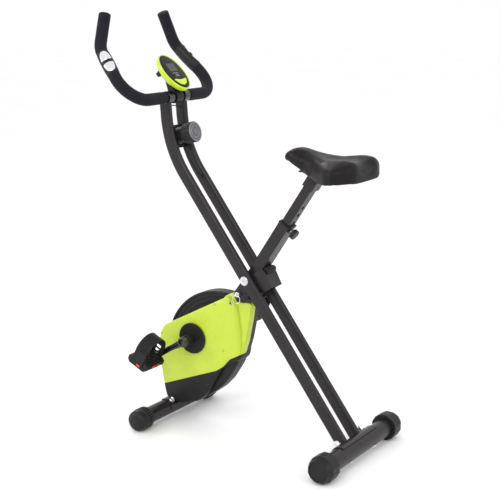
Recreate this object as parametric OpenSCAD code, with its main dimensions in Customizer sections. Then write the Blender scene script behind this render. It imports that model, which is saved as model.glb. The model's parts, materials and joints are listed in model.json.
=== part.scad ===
// Folding exercise bike, X-frame type: a front frame with the drive and the saddle,
// and a rear frame with the handlebar, that fold against each other on one pivot bolt.
// X points forward, Y to the rider's left, Z up. The feet stand on Z = 0.

/* [Frame] */
// Height of the folding pivot above the floor
pivot_h = 447; // [420:1:480]
// Slope of the main tube that carries the saddle
main_angle = 56.5; // [54:0.5:60]
// Slope of the twin tubes that carry the handlebar
rear_angle = 53; // [50:0.5:56]
// Angle the frame folds through
fold_max = 36; // [30:1:37]
// Distance between the inner faces of the twin tubes
twin_gap = 52; // [52:1:60]
// Length of the front foot over its caps
front_foot_w = 374; // [340:1:400]
// Length of the rear foot over its caps
rear_foot_w = 406; // [380:1:440]

/* [Drive] */
// Length of each crank, from axle to pedal spindle
crank_len = 104; // [95:1:110]
// Angle the left crank points below the horizontal at rest
crank_drop = 30; // [0:1:90]
// Angle the pedals are tipped toe up at rest
pedal_pitch = 25; // [0:5:90]

/* [Saddle] */
// Spacing of the saddle height holes
hole_pitch = 25; // [20:1:30]

/* [Console] */
// Slope of the console face, from the horizontal
console_tilt = 46; // [40:1:52]

/* [Hidden] */
$fn = 64;

// Tube sections
wall = 2;
main_d = 32;
main_w = 40;
twin_d = 36;
twin_w = 18;
twin_y = twin_gap / 2 + twin_w / 2;
front_foot_d = 46;
rear_foot_d = 50;
front_cap_r = 31;
rear_cap_r = 35;
rear_foot_back = 12;
plate_t = 3;

// How far the middle of the bike lies in front of the folding pivot
origin_x = 25;

// Where the feet lie along the two frame lines
main_lower = (pivot_h - front_cap_r) / sin(main_angle);
rear_lower = (pivot_h - rear_cap_r + rear_foot_back * cos(rear_angle)) / sin(rear_angle);
front_foot_x = main_lower * cos(main_angle);
rear_foot_x = -rear_lower * cos(rear_angle) - rear_foot_back * sin(rear_angle);
rear_foot_z = rear_cap_r;
cap_lift = 1;

// Seat tube and post
seat_tube_top = 190;
post_d = 25;
post_w = 31;
post_bottom = 96;
post_top = 350;
seat_pin_at = 182;
boss_h = 3;

// Bend of the twin tubes below the handlebar
bend_from = 336;
bend_r = 300;
bend_turn = 33;
bend_straight = 36;
bend_c = [
    bend_from * cos(rear_angle) - bend_r * sin(rear_angle),
    pivot_h + bend_from * sin(rear_angle) + bend_r * cos(rear_angle)
];

// Handlebar, as corner points of the left half, mirrored for the right
bar_d = 25.4;
grip_d = 33;
bar_x = 256;
bar_z = 922;
bar_corner = [bar_x, 202, bar_z];
bar_horn = [383, 162, 1054];
bar_tip = [394, 126, 1140];
corner_r = 67;
horn_r = 57;

// Drive
crank_x = 179;
crank_z = 255;
wheel_x = 200;
wheel_z = 150;
pulley_r = 82;
small_pulley_r = 14;
magnet_stud = [
    wheel_x - 86 * cos(main_angle),
    wheel_z + 86 * sin(main_angle)
];
belt_y = -29;
belt_w = 8;
wheel_r = 70;
arm_y = 80;
pedal_in = 97;
pedal_w = 78;
pedal_half = 34;
left_pedal = [crank_x + crank_len * cos(crank_drop), crank_z - crank_len * sin(crank_drop)];
right_pedal = [crank_x - crank_len * cos(crank_drop), crank_z + crank_len * sin(crank_drop)];

// Lock pin
lock_r = 53;
lock_d = 10;

// Console and tension control
console_c = [262, 0, 987];
knob_a = -16;

// ---------- helpers ----------

// Extrudes a side-view outline, drawn as [x, z], from y0 to y1
module side(y0, y1) {
    translate([0, y1, 0])
        rotate([90, 0, 0])
            linear_extrude(y1 - y0)
                children();
}

// A round bar along Y
module rod(x, z, y0, y1, d) {
    translate([x, y1, z])
        rotate([90, 0, 0])
            cylinder(h = y1 - y0, d = d);
}

// A ring along Y
module ring(x, z, y0, y1, d_out, d_in) {
    difference() {
        rod(x, z, y0, y1, d_out);
        rod(x, z, y0 - 1, y1 + 1, d_in);
    }
}

// The child and its mirror image on the other side of the bike
module both() {
    children();
    mirror([0, 1, 0])
        children();
}

// Main tube frame: z runs up the tube from the pivot, x to its upper front face
module on_main() {
    translate([0, 0, pivot_h])
        rotate([0, main_angle - 90, 0])
            children();
}

// Twin tube frame: z runs up the tubes from the pivot, x to their lower front face
module on_rear() {
    translate([0, 0, pivot_h])
        rotate([0, 90 - rear_angle, 0])
            children();
}

// A bar along the local z axis of a box section
module box_bar(d, w, z0, z1) {
    translate([-d / 2, -w / 2, z0])
        cube([d, w, z1 - z0]);
}

function unit(v) = v / norm(v);

// Points of a fillet of radius r at the corner p between a and b
function fillet(a, p, b, r, steps = 7) =
    let (u = unit(p - a))
    let (v = unit(b - p))
    let (turn = acos(u * v))
    let (n = unit(v - u * (u * v)))
    let (c = p - u * r * tan(turn / 2) + n * r)
    [for (i = [0 : steps]) c + r * (u * sin(turn * i / steps) - n * cos(turn * i / steps))];

// Point ring of a swept tube at point i of path p, turned towards the direction ref
function sweep_ring(p, i, r, n, ref) =
    let (before = i == 0 ? p[1] - p[0] : unit(p[i] - p[i - 1]))
    let (after = i == len(p) - 1 ? before : unit(p[i + 1] - p[i]))
    let (t = unit(unit(before) + unit(after)))
    let (u = unit(cross(t, ref)))
    let (v = cross(t, u))
    [for (k = [0 : n - 1]) p[i] + r * (u * cos(k * 360 / n) + v * sin(k * 360 / n))];

// A round tube or cord of radius r swept along the points of path p
module sweep(p, r, n, ref) {
    m = len(p);
    pts = [for (i = [0 : m - 1]) each sweep_ring(p, i, r, n, ref)];
    sides = [
        for (i = [0 : m - 2])
            for (k = [0 : n - 1])
                [i * n + k, (i + 1) * n + k, (i + 1) * n + (k + 1) % n, i * n + (k + 1) % n]
    ];
    polyhedron(
        points = pts,
        faces = concat(
            [[for (k = [0 : n - 1]) k]],
            sides,
            [[for (k = [n - 1 : -1 : 0]) (m - 1) * n + k]]
        )
    );
}

// Puts z along the line from a to b, starting at a
module along(a, b) {
    v = b - a;
    translate(a)
        rotate([0, acos(v.z / norm(v)), atan2(v.y, v.x)])
            children();
}

// Centre line of the left half of the handlebar, from y0 to past the tip
function bar_path(y0, past) =
    let (start = [bar_x, y0, bar_z])
    concat(
        [start],
        fillet(start, bar_corner, bar_horn, corner_r),
        fillet(bar_corner, bar_horn, bar_tip, horn_r),
        [bar_tip + unit(bar_tip - bar_horn) * past]
    );

// ---------- front frame ----------

// Curved plate over a foot tube, centred on the direction a
module foot_plate(x, z, d, a, span, half_w) {
    translate([x, half_w, z])
        rotate([90, 0, 0])
            rotate_extrude(angle = span, start = a - span / 2)
                translate([d / 2, 0])
                    square([plate_t, 2 * half_w]);
}

// A drilled hole through a foot, at y, in the direction a
module foot_hole(x, z, a, y, d) {
    translate([x, y, z])
        rotate([0, 90 - a, 0])
            cylinder(h = 120, d = d, center = true);
}

// One carriage bolt with its washer and domed nut
module foot_bolt(x, z, a, y, foot_r) {
    nut_at = foot_r + plate_t + 0.2;
    translate([x, y, z])
        rotate([0, 90 - a, 0]) {
            translate([0, 0, -foot_r - 0.5])
                cylinder(h = foot_r + nut_at + 8, d = 8);
            translate([0, 0, -foot_r - 4.5])
                intersection() {
                    cylinder(h = 4, d = 18);
                    translate([0, 0, 12])
                        sphere(r = 12);
                }
            difference() {
                union() {
                    translate([0, 0, nut_at])
                        cylinder(h = 1.6, d = 18);
                    translate([0, 0, nut_at + 1.6])
                        cylinder(h = 6.4, d = 15, $fn = 6);
                    translate([0, 0, nut_at + 8])
                        intersection() {
                            sphere(r = 6.4);
                            cylinder(h = 7, d = 13);
                        }
                }
                translate([0, 0, nut_at - 1])
                    cylinder(h = 9.4, d = 8.1);
            }
        }
}

// Welded front frame: box tube, foot plate, pivot sleeve, pin boss and magnet stud
module main_tube() {
    color("dimgray") {
        difference() {
            union() {
                on_main()
                    box_bar(main_d, main_w, -main_lower, seat_tube_top);
                on_main()
                    translate([-main_d / 2 - boss_h, 0, seat_pin_at])
                        rotate([0, 90, 0])
                            cylinder(h = boss_h + wall, d = 15);
            }
            on_main()
                box_bar(main_d - 2 * wall, main_w - 2 * wall, -main_lower - 1, seat_tube_top + 1);
            // end cut to sit on the foot plate
            rod(front_foot_x, front_cap_r, -30, 30, front_foot_d + 2 * plate_t);
            rod(0, pivot_h, -30, 30, 17);
            on_main() {
                rod(0, -lock_r, 15, 25, lock_d + 0.6);
                translate([-main_d / 2 - boss_h - 1, 0, seat_pin_at])
                    rotate([0, 90, 0])
                        cylinder(h = boss_h + wall + 2, d = 10.1);
            }
            rod(wheel_x, wheel_z, -30, 30, 22);
        }
        ring(0, pivot_h, -22.5, 22.5, 18, 10.1);
        difference() {
            foot_plate(front_foot_x, front_cap_r, front_foot_d, 180 - main_angle, 120, 48);
            both()
                foot_hole(front_foot_x, front_cap_r, 180 - main_angle, 34, 8.4);
        }
        rod(magnet_stud.x, magnet_stud.y, main_w / 2 - wall, 35, 6);
    }
}

module front_foot_tube() {
    color("dimgray")
        difference() {
            ring(front_foot_x, front_cap_r, -front_foot_w / 2 + 13, front_foot_w / 2 - 13,
                front_foot_d, front_foot_d - 2 * wall);
            both()
                foot_hole(front_foot_x, front_cap_r, 180 - main_angle, 34, 8.4);
        }
}

// Domed end caps with a ribbed inner half and a small flat sole
module front_foot_caps() {
    y1 = front_foot_w / 2;
    len = 54;
    rib_n = 24;
    color("black")
        both()
            difference() {
                union() {
                    intersection() {
                        rod(front_foot_x, front_cap_r, y1 - len, y1, 2 * front_cap_r - 4);
                        translate([front_foot_x, y1 - 44, front_cap_r])
                            sphere(r = 44);
                    }
                    rod(front_foot_x, front_cap_r, y1 - 34, y1 - 25, 2 * front_cap_r + 1.2);
                    for (i = [0 : rib_n - 1])
                        translate([
                            front_foot_x + (front_cap_r - 2.2) * cos(i * 360 / rib_n),
                            y1 - 28,
                            front_cap_r + (front_cap_r - 2.2) * sin(i * 360 / rib_n)
                        ])
                            rotate([90, 0, 0])
                                cylinder(h = len - 28, d = 3);
                }
                rod(front_foot_x, front_cap_r, y1 - len - 1, y1 - 12.9, front_foot_d);
                translate([front_foot_x - 40, y1 - len - 5, -3])
                    cube([80, len + 10, 3]);
            }
}

module front_foot_bolts() {
    color("silver")
        both()
            foot_bolt(front_foot_x, front_cap_r, 180 - main_angle, 34, front_foot_d / 2);
}

// Plastic collar in the top of the main tube that guides the seat post
module seat_bushing() {
    color("black")
        on_main()
            difference() {
                union() {
                    box_bar(main_d + 2, main_w + 2, seat_tube_top, seat_tube_top + 6);
                    box_bar(main_d - 2 * wall, main_w - 2 * wall, seat_tube_top - 90,
                        seat_tube_top + 1);
                }
                box_bar(post_d + 0.3, post_w + 0.3, seat_tube_top - 91, seat_tube_top + 7);
                translate([-main_d / 2 - 2, 0, seat_pin_at])
                    rotate([0, 90, 0])
                        cylinder(h = 8, d = 12);
            }
}

// Bottom bracket shell on a block welded to the main tube
module crank_shell() {
    color("dimgray")
        difference() {
            union() {
                rod(crank_x, crank_z, -20, 20, 42);
                on_main()
                    translate([main_d / 2, -16, -276])
                        cube([18, 32, 30]);
            }
            rod(crank_x, crank_z, -21, 21, 34);
        }
}

// Ball bearings of the crank axle and of the flywheel axle
module bearings() {
    color("silver") {
        both()
            ring(crank_x, crank_z, 8, 20, 34, 17.1);
        both()
            ring(wheel_x, wheel_z, 13, 20, 22, 10.1);
    }
}

// Reed sensor that counts the turns of the crank
module speed_sensor() {
    color("black")
        rod(crank_x + 25 * cos(30), crank_z + 25 * sin(30), -22.5, -8, 8);
}

// ---------- covers ----------

// Side outline of the wide part of the left housing half
wide_outline = [
    [291, 262], [280, 278], [254, 291], [66, 391], [52, 389], [33, 368], [25, 304],
    [22, 232], [30, 212], [84, 181], [131, 101], [160, 72], [222, 50], [276, 60],
    [285, 94], [300, 175], [298, 244]
];
// The right half has a taller arched top, over the belt pulley
arch_c = [110, 206];
arch_r = 186;
arch_outline = concat(
    [
        [22, 232], [30, 212], [84, 181], [131, 101], [160, 72], [222, 50], [276, 60],
        [285, 94], [300, 175], [298, 230]
    ],
    [for (a = [22 : 8 : 94]) [arch_c.x + arch_r * cos(a), arch_c.y + arch_r * sin(a)]],
    [[66, 388], [52, 386], [33, 368], [25, 304]]
);
// Side outline of the narrow tail that passes between the twin tubes
tail_outline = [
    [90, 388], [58, 403], [20, 386], [-7, 376], [-2, 337], [12, 269], [24, 232],
    [46, 187], [74, 144], [101, 115], [146, 82], [190, 66], [160, 120], [110, 300]
];
// Below this line the left half is dark
split_line = [
    [-40, 248], [27, 229], [56, 213], [80, 187], [99, 173], [330, 82], [330, 0], [-40, 0]
];
cover_t = 2.5;
wide_y = 38;
edge_step = 6;
tail_y = 22;
cover_screw_at = [[102, 362], [54, 373], [285, 248], [76, 236], [131, 127]];

function cross2(u, v) = u.x * v.y - u.y * v.x;
function edge_in(a, b, t) = [a + unit([a.y - b.y, b.x - a.x]) * t, b - a];
function meet(e, f) = e[0] + e[1] * (cross2(f[0] - e[0], f[1]) / cross2(e[1], f[1]));

// An anticlockwise outline moved inwards by t
function inset(p, t) =
    let (n = len(p))
    [
        for (i = [0 : n - 1])
            meet(edge_in(p[(i + n - 1) % n], p[i], t), edge_in(p[i], p[(i + 1) % n], t))
    ];

// One half of the housing as a hollow shell, open at the middle of the bike
module half_shell(outline) {
    difference() {
        union() {
            difference() {
                union() {
                    side(0.2, wide_y - edge_step)
                        polygon(outline);
                    side(wide_y - edge_step, wide_y)
                        polygon(inset(outline, edge_step));
                }
                // room for the fold yoke
                rod(0, pivot_h, tail_y, wide_y + 1, 164);
            }
            side(0.2, tail_y)
                polygon(tail_outline);
        }
        difference() {
            union() {
                side(-1, wide_y - edge_step - cover_t)
                    polygon(inset(outline, cover_t));
                side(-1, wide_y - cover_t)
                    polygon(inset(outline, edge_step + cover_t));
            }
            rod(0, pivot_h, tail_y - cover_t, wide_y + 1, 164 + 2 * cover_t);
        }
        side(-1, tail_y - cover_t)
            polygon(inset(tail_outline, cover_t));
        on_main()
            box_bar(main_d + 0.4, main_w + 0.4, -main_lower, 10);
        rod(crank_x, crank_z, 0, wide_y + 1, 62);
        rod(front_foot_x, front_cap_r, -1, wide_y + 1, 60);
        // room for the nut of the foot bolt
        translate([front_foot_x, 34, front_cap_r])
            rotate([0, main_angle - 90, 0])
                cylinder(h = 46, d = 21);
        for (p = cover_screw_at)
            rod(p.x, p.y, wide_y - 12, wide_y + 1, 7);
    }
}

module left_cover() {
    color("yellowgreen")
        difference() {
            half_shell(wide_outline);
            side(-2, wide_y + 2)
                polygon(split_line);
        }
}

module left_lower_cover() {
    color("black")
        intersection() {
            half_shell(wide_outline);
            side(-2, wide_y + 2)
                polygon(split_line);
        }
}

module right_cover() {
    color("black")
        mirror([0, 1, 0])
            half_shell(arch_outline);
}

module cover_screws() {
    color("gray")
        both()
            for (p = cover_screw_at) {
                rod(p.x, p.y, wide_y - 3, wide_y - 1, 6.8);
                rod(p.x, p.y, wide_y - 14, wide_y - 2, 3.6);
            }
}

// ---------- drive ----------

module wheel_axle() {
    color("silver")
        rod(wheel_x, wheel_z, -35, 35, 10);
    color("dimgray")
        ring(wheel_x, wheel_z, belt_y - 5, belt_y + 5, 2 * small_pulley_r, 10);
}

module flywheel() {
    color("gray")
        difference() {
            rod(wheel_x, wheel_z, 22, 34, 2 * wheel_r);
            difference() {
                rod(wheel_x, wheel_z, 30, 35, 2 * wheel_r - 24);
                rod(wheel_x, wheel_z, 29, 36, 30);
            }
            rod(wheel_x, wheel_z, 20, 36, 10);
        }
}

module drive_pulley() {
    color("dimgray")
        difference() {
            rod(crank_x, crank_z, belt_y - 5, belt_y + 5, 2 * pulley_r);
            rod(crank_x, crank_z, belt_y - 6, belt_y + 6, 17);
            for (a = [0 : 60 : 300])
                rod(crank_x + 54 * cos(a), crank_z + 54 * sin(a), belt_y - 6, belt_y + 6, 36);
            rod(crank_x + 25 * cos(30), crank_z + 25 * sin(30), belt_y + 2, belt_y + 6, 8);
        }
    color("silver")
        rod(crank_x + 25 * cos(30), crank_z + 25 * sin(30), belt_y + 2, belt_y + 5, 7.9);
}

// Area inside a belt that runs round both pulleys at radii r1 and r2
module belt_loop(r1, r2) {
    c1 = [crank_x, crank_z];
    c2 = [wheel_x, wheel_z];
    lie = atan2(c2.y - c1.y, c2.x - c1.x);
    lean = acos((r1 - r2) / norm(c2 - c1));
    wrap1 = 360 - 2 * lean;
    wrap2 = 2 * lean;
    polygon(concat(
        [for (i = [0 : 24]) c1 + r1 * turn2(lie + lean + i * wrap1 / 24)],
        [for (i = [0 : 12]) c2 + r2 * turn2(lie - lean + i * wrap2 / 12)]
    ));
}

function turn2(a) = [cos(a), sin(a)];

module drive_belt() {
    color("black")
        difference() {
            side(belt_y - belt_w / 2, belt_y + belt_w / 2)
                belt_loop(pulley_r + 2.8, small_pulley_r + 2.8);
            side(belt_y - belt_w, belt_y + belt_w)
                belt_loop(pulley_r + 0.6, small_pulley_r + 0.6);
        }
}

module crank_axle() {
    color("silver")
        difference() {
            rod(crank_x, crank_z, -arm_y - 8, arm_y + 8, 17);
            both()
                rod(crank_x, crank_z, arm_y - 6, arm_y + 10, 8);
        }
}

// Round dust discs beside the housing, with the hub that carries the crank arm
module crank_discs() {
    color("black")
        both()
            difference() {
                union() {
                    rod(crank_x, crank_z, wide_y + 2, wide_y + 6, 88);
                    rod(crank_x, crank_z, wide_y + 6, arm_y - 8, 32);
                }
                rod(crank_x, crank_z, wide_y, arm_y, 17);
            }
}

// Crank arm on the left, from the axle to the pedal spindle at p
module crank_arm(p) {
    c = [crank_x, crank_z];
    v = unit(p - c);
    n = [-v.y, v.x];
    difference() {
        union() {
            rod(c.x, c.y, arm_y - 8, arm_y + 8, 32);
            rod(p.x, p.y, arm_y - 3, arm_y + 9, 24);
            side(arm_y - 3, arm_y + 6)
                polygon([c - n * 12, p - n * 9, p + n * 9, c + n * 12]);
        }
        rod(c.x, c.y, 0, 120, 17);
        rod(p.x, p.y, 0, 120, 12);
    }
}

module left_crank_arm() {
    color("black")
        crank_arm(left_pedal);
}

module right_crank_arm() {
    color("black")
        mirror([0, 1, 0])
            crank_arm(right_pedal);
}

module crank_nuts() {
    color("silver")
        both()
            difference() {
                union() {
                    rod(crank_x, crank_z, arm_y + 8, arm_y + 13, 20);
                    rod(crank_x, crank_z, arm_y - 5, arm_y + 8, 8);
                }
                rod(crank_x, crank_z, arm_y + 10, arm_y + 17, 8);
            }
}

module pedal_spindle(p) {
    rod(p.x, p.y, arm_y - 3, pedal_in + pedal_w - 6, 12);
    ring(p.x, p.y, arm_y + 9.2, pedal_in - 1, 18, 12);
}

module pedal_spindles() {
    color("silver") {
        pedal_spindle(left_pedal);
        mirror([0, 1, 0])
            pedal_spindle(right_pedal);
    }
}

// Pedal frame at the spindle p: x towards the toe, z out of the tread
module on_pedal(p) {
    translate([p.x, 0, p.y])
        rotate([0, -pedal_pitch, 0])
            children();
}

// Pedal body on the left: tread plate with studs, and an amber reflector at each edge
module pedal_body(p) {
    y0 = pedal_in;
    y1 = pedal_in + pedal_w;
    on_pedal(p) {
        difference() {
            union() {
                side(y0, y1)
                    polygon([
                        [8 - pedal_half, -14], [pedal_half - 8, -14], [pedal_half, -6],
                        [pedal_half, 6], [pedal_half - 8, 11], [8 - pedal_half, 11],
                        [-pedal_half, 6], [-pedal_half, -6]
                    ]);
                for (x = [-20 : 10 : 20])
                    for (y = [y0 + 14 : 12.5 : y1 - 14])
                        translate([x, y, 10])
                            cylinder(h = 4, d = 5);
            }
            rod(0, 0, y0 - 1, y1 - 5.5, 12.1);
            // windows seen from below
            for (x = [-19, 19])
                for (y = [y0 + 22, y1 - 22])
                    translate([x - 7, y - 13, -20])
                        cube([14, 26, 22]);
        }
        for (x = [-pedal_half - 1.5, pedal_half])
            translate([x, (y0 + y1) / 2 - 16, -5])
                cube([1.5, 32, 10]);
    }
}

// Ribbed strap arched over the foot, hooked to both ends of the pedal
module pedal_strap(p) {
    y0 = pedal_in;
    y1 = pedal_in + pedal_w;
    mid = (y0 + y1) / 2;
    r = (y1 - y0) / 2;
    t = 3;
    w = 38;
    rise = 36;
    on_pedal(p)
        difference() {
            union() {
                translate([-w / 2, mid, rise])
                    rotate([0, 90, 0])
                        rotate_extrude(angle = 180, start = 90)
                            translate([r, 0])
                                square([t, w]);
                for (y = [y0 - t, y1])
                    translate([-w / 2, y, -8])
                        cube([w, t, rise + 8]);
                for (x = [-12 : 6 : 12])
                    translate([x - 1.5, mid, rise])
                        rotate([0, 90, 0])
                            rotate_extrude(angle = 90, start = 90)
                                translate([r + t - 0.5, 0])
                                    square([1.5, 2]);
            }
            rod(0, 0, y0 - 10, y0 + 1, 26);
            for (z = [16, 29])
                translate([-8, y0 - 6, z])
                    cube([16, 10, 9]);
        }
}

module left_pedal_body() {
    color("black")
        pedal_body(left_pedal);
}

module left_pedal_strap() {
    color("black")
        pedal_strap(left_pedal);
}

module right_pedal_body() {
    color("black")
        mirror([0, 1, 0])
            pedal_body(right_pedal);
}

module right_pedal_strap() {
    color("black")
        mirror([0, 1, 0])
            pedal_strap(right_pedal);
}

// Curved arm that brings the magnets to the rim of the flywheel
module magnet_arm() {
    r0 = wheel_r + 4.5;
    color("dimgray")
        difference() {
            union() {
                translate([wheel_x, 33, wheel_z])
                    rotate([90, 0, 0])
                        rotate_extrude(angle = 82, start = 40)
                            translate([r0, 0])
                                square([5, 9]);
                rod(magnet_stud.x, magnet_stud.y, 24, 33, 15);
            }
            rod(magnet_stud.x, magnet_stud.y, 20, 40, 6.1);
        }
}

module magnets() {
    color("silver")
        for (a = [50 : 20 : 90])
            translate([wheel_x, 33, wheel_z])
                rotate([90, 0, 0])
                    rotate_extrude(angle = 12, start = a)
                        translate([wheel_r + 1.5, 0])
                            square([3, 9]);
}

// ---------- saddle ----------

module seat_post() {
    color("dimgray")
        on_main()
            difference() {
                box_bar(post_d, post_w, post_bottom, post_top);
                box_bar(post_d - 4, post_w - 4, post_bottom - 1, post_top - 3);
                for (i = [-1 : 3])
                    translate([-post_d / 2 - 2, 0, seat_pin_at + i * hole_pitch])
                        rotate([0, 90, 0])
                            cylinder(h = 6, d = 10.6);
            }
}

saddle_z = 756;
saddle_bolt_at = [[-166, 14], [-166, -14], [-246, 14], [-246, -14]];

module saddle_bracket() {
    color("dimgray")
        difference() {
            union() {
                side(-24, 24)
                    polygon([
                        [-262, saddle_z - 4], [-152, saddle_z - 4], [-152, saddle_z],
                        [-262, saddle_z]
                    ]);
                on_main()
                    box_bar(post_d + 8, post_w + 8, post_top - 34, post_top + 32);
            }
            on_main()
                box_bar(post_d, post_w, post_bottom, post_top);
            translate([-400, -60, saddle_z])
                cube([400, 120, 60]);
            for (p = saddle_bolt_at)
                translate([p.x, p.y, saddle_z - 10])
                    cylinder(h = 20, d = 6.4);
        }
}

// Saddle seen from above: two rear lobes and a nose
saddle_lobe = [-292, 58];
saddle_nose = [-128, 0];
// The base ends here, and the nose of the pad goes on alone
base_front = -156;

// Saddle seen from the side: raised nose, dip, and a skirt that hangs over the base
saddle_side = [
    [-97, 777], [-108, 797], [-139, 811], [-216, 795], [-274, 788], [-320, 794],
    [-338, 780], [-340, 745], [-338, 741], [-249, 739], [-199, 757]
];

module saddle_plan(grow) {
    lobe_r = 47 + grow;
    nose_r = 30 + grow;
    flank = [
        [saddle_nose.x, nose_r], [-168, nose_r + 4], [-205, 50 + grow], [-240, 74 + grow],
        [saddle_lobe.x + lobe_r * 0.51, saddle_lobe.y + lobe_r * 0.86], saddle_lobe
    ];
    for (s = [-1, 1])
        translate([saddle_lobe.x, s * saddle_lobe.y])
            circle(r = lobe_r);
    translate(saddle_nose)
        circle(r = nose_r);
    polygon(concat(
        flank,
        [for (i = [len(flank) - 1 : -1 : 0]) [flank[i].x, -flank[i].y]]
    ));
    translate([saddle_lobe.x - lobe_r, -saddle_lobe.y])
        square([lobe_r, 2 * saddle_lobe.y]);
}

// The part of the saddle behind base_front, between heights z0 and z1
module behind_nose(grow, z0, z1) {
    translate([0, 0, z0])
        linear_extrude(z1 - z0)
            intersection() {
                saddle_plan(grow);
                translate([base_front - 300, -150])
                    square([300, 300]);
            }
}

module saddle_base() {
    color("black")
        difference() {
            behind_nose(-12, saddle_z + 0.1, saddle_z + 10.1);
            for (p = saddle_bolt_at)
                translate([p.x, p.y, saddle_z - 1])
                    cylinder(h = 9, d = 6.4);
        }
}

// Cushion with a hollow underside that takes the base
module saddle_pad() {
    color("saddlebrown")
        difference() {
            intersection() {
                translate([0, 0, saddle_z - 30])
                    linear_extrude(100)
                        saddle_plan(0);
                side(-120, 120)
                    polygon([for (i = [len(saddle_side) - 1 : -1 : 0]) saddle_side[i]]);
            }
            behind_nose(-11.7, saddle_z - 30, saddle_z + 10.3);
        }
}

module saddle_nuts() {
    color("silver")
        for (p = saddle_bolt_at) {
            translate([p.x, p.y, saddle_z - 9])
                cylinder(h = 16, d = 6);
            translate([p.x, p.y, saddle_z - 9])
                difference() {
                    cylinder(h = 4.9, d = 11.5, $fn = 6);
                    translate([0, 0, -1])
                        cylinder(h = 7, d = 6);
                }
        }
}

// Spring pin of the saddle height, drawn pulled just clear of the post
module seat_pin() {
    color("silver")
        on_main()
            translate([-post_d / 2 - 1 - 20, 0, seat_pin_at])
                rotate([0, 90, 0])
                    cylinder(h = 20, d = 10);
}

module seat_knob() {
    grip_n = 8;
    color("black")
        on_main()
            translate([-37, 0, seat_pin_at])
                rotate([0, 90, 0])
                    difference() {
                        union() {
                            cylinder(h = 11, d = 28);
                            cylinder(h = 13.5, d = 17);
                        }
                        for (i = [0 : grip_n - 1])
                            rotate(i * 360 / grip_n)
                                translate([17, 0, -1])
                                    cylinder(h = 13, d = 8);
                        translate([0, 0, 3])
                            cylinder(h = 20, d = 10.1);
                    }
}

// ---------- rear frame ----------

// Rounded flat section of a twin tube
module twin_section(cut) {
    flat = (twin_d - twin_w) / 2;
    r = twin_w / 2 - cut;
    polygon([
        for (s = [1, -1])
            for (a = [-90 : 15 : 90])
                s * [flat + r * cos(a), r * sin(a)]
    ]);
}

module twin_wall() {
    difference() {
        twin_section(0);
        twin_section(wall);
    }
}

// One twin tube at y: straight, then bent upright below the handlebar
module twin_tube(y) {
    a0 = rear_angle - 90;
    translate([0, y, 0])
        difference() {
            union() {
                on_rear()
                    translate([0, 0, -rear_lower])
                        linear_extrude(rear_lower + bend_from)
                            twin_wall();
                translate([bend_c.x, 0, bend_c.y])
                    rotate([90, 0, 0])
                        rotate_extrude(angle = bend_turn, start = a0)
                            translate([bend_r, 0])
                                twin_wall();
                translate([bend_c.x, 0, bend_c.y])
                    rotate([0, -a0 - bend_turn, 0])
                        translate([bend_r, 0, 0])
                            linear_extrude(bend_straight)
                                twin_wall();
            }
            rod(0, pivot_h, -20, 20, 10);
            rod(rear_foot_x, rear_foot_z, -20, 20, rear_foot_d + 2 * plate_t);
            rod(bar_x, bar_z, -20, 20, 34);
        }
}

module left_twin_tube() {
    color("dimgray")
        difference() {
            twin_tube(twin_y);
            // outlet of the sensor wire
            rod(264, 900, twin_gap / 2 - 2, twin_gap / 2 + 4, 6);
        }
}

module right_twin_tube() {
    color("dimgray")
        difference() {
            twin_tube(-twin_y);
            // inlet of the sensor wire and of the tension cable
            rod(263, 889, -twin_gap / 2 - 4, -twin_gap / 2 + 2, 9);
            rod(cable_in.x, cable_in.z, -twin_gap / 2 - 4, -twin_gap / 2 + 2, 18);
        }
}

// Side plates of the yoke: lock holes in front of the tubes, stop box behind them
module yoke_plate() {
    polygon([
        [46, -40], [26, -13], [14, 12], [-8, 14], [-43, 36], [-56, 20], [-74, -13],
        [-44, -32], [-30, -50], [-13, -62], [16, -68], [38, -68], [45, -56]
    ]);
}

module stop_web() {
    polygon([[-50, 28], [-74, -13], [-71.4, -14.5], [-47.4, 26.5]]);
}

module fold_yoke() {
    color("dimgray")
        difference() {
            translate([0, 0, pivot_h]) {
                both()
                    side(twin_gap / 2 - plate_t, twin_gap / 2)
                        yoke_plate();
                side(-twin_gap / 2 + plate_t, twin_gap / 2 - plate_t)
                    stop_web();
            }
            rod(0, pivot_h, -40, 40, 10);
            for (a = [0, fold_max])
                rod(
                    lock_r * cos(main_angle + a),
                    pivot_h - lock_r * sin(main_angle + a),
                    -40, 40, lock_d + 0.1
                );
        }
}

// Rubber cap on the web, that the main tube leans on when unfolded
module stop_pad() {
    color("black")
        difference() {
            on_main()
                translate([-30, -20, 42])
                    cube([30 - main_d / 2 - 0.1, 40, 20]);
            translate([0, 0, pivot_h])
                side(-30, 30)
                    stop_web();
        }
}

module pivot_bolt() {
    y1 = twin_y + twin_w / 2;
    color("silver") {
        rod(0, pivot_h, -y1 - 9, y1, 10);
        difference() {
            union() {
                rod(0, pivot_h, y1, y1 + 4, 25);
                rod(0, pivot_h, y1 + 4, y1 + 6, 20);
            }
            translate([0, y1 + 7, pivot_h])
                rotate([90, 0, 0])
                    cylinder(h = 4, d = 9, $fn = 6);
        }
        difference() {
            union() {
                rod(0, pivot_h, -y1 - 1.6, -y1, 20);
                translate([0, -y1 - 1.6, pivot_h])
                    rotate([90, 0, 0])
                        cylinder(h = 7, d = 18, $fn = 6);
            }
            rod(0, pivot_h, -y1 - 10, -y1 + 1, 10);
        }
    }
}

rear_bolt_a = 45;
rear_bolt_y = 65;

module rear_foot_plate() {
    color("dimgray")
        difference() {
            foot_plate(rear_foot_x, rear_foot_z, rear_foot_d, rear_angle, 120, 90);
            both()
                foot_hole(rear_foot_x, rear_foot_z, rear_bolt_a, rear_bolt_y, 8.4);
        }
}

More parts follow.
